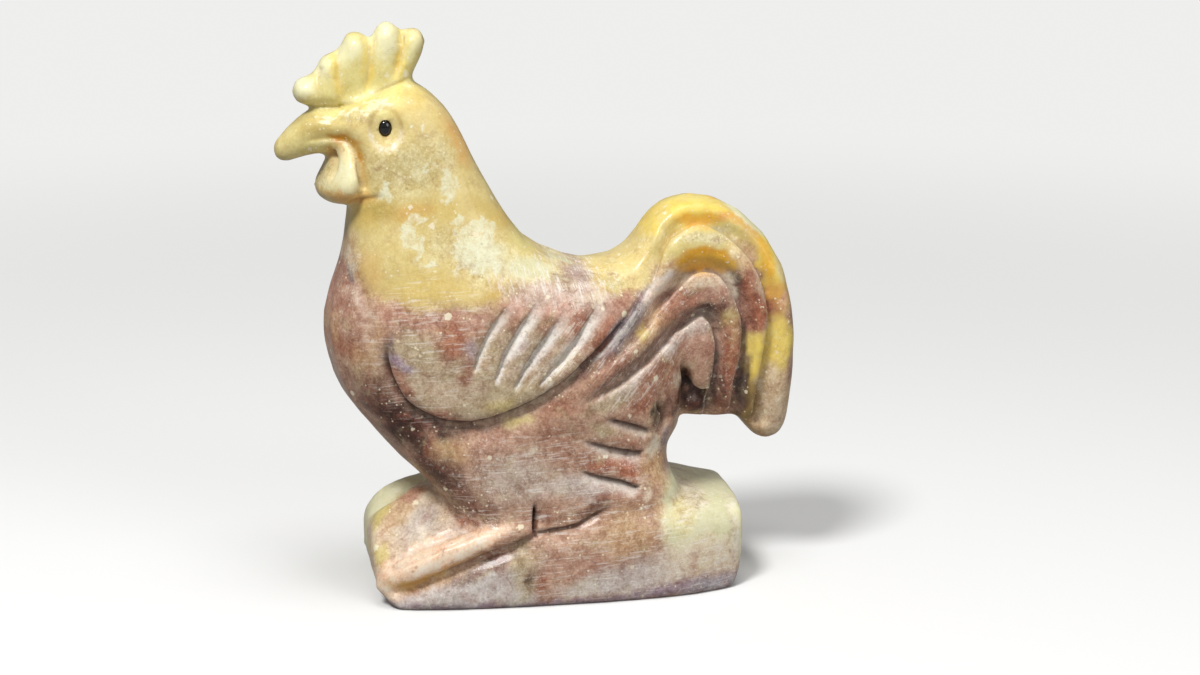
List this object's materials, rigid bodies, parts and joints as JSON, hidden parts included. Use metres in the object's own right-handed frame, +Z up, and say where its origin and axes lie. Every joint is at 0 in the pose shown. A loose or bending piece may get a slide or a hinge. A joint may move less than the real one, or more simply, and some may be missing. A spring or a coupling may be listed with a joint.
{
  "type": "rooster figurine",
  "caption": "Small rooster figurine carved from marbled soapstone, standing on a log-shaped base, with black beads let into the eyes.",
  "frame": {"origin": "middle of the bounding box, on the flat underside of the log", "axes": "+Z up from the log to the comb, -X the way that the beak points, -Y the left flank, which the picture shows"},
  "size_m": [0.0456, 0.0186, 0.05],
  "materials": {
    "soapstone": "hand-rubbed, half polished, with pale tool marks in the cuts",
    "eye_bead": "glossy black"
  },
  "bodies": {
    "root": {"stone_carving": "soapstone", "eye_inlay_left": "eye_bead", "eye_inlay_right": "eye_bead"}
  },
  "joints": []
}
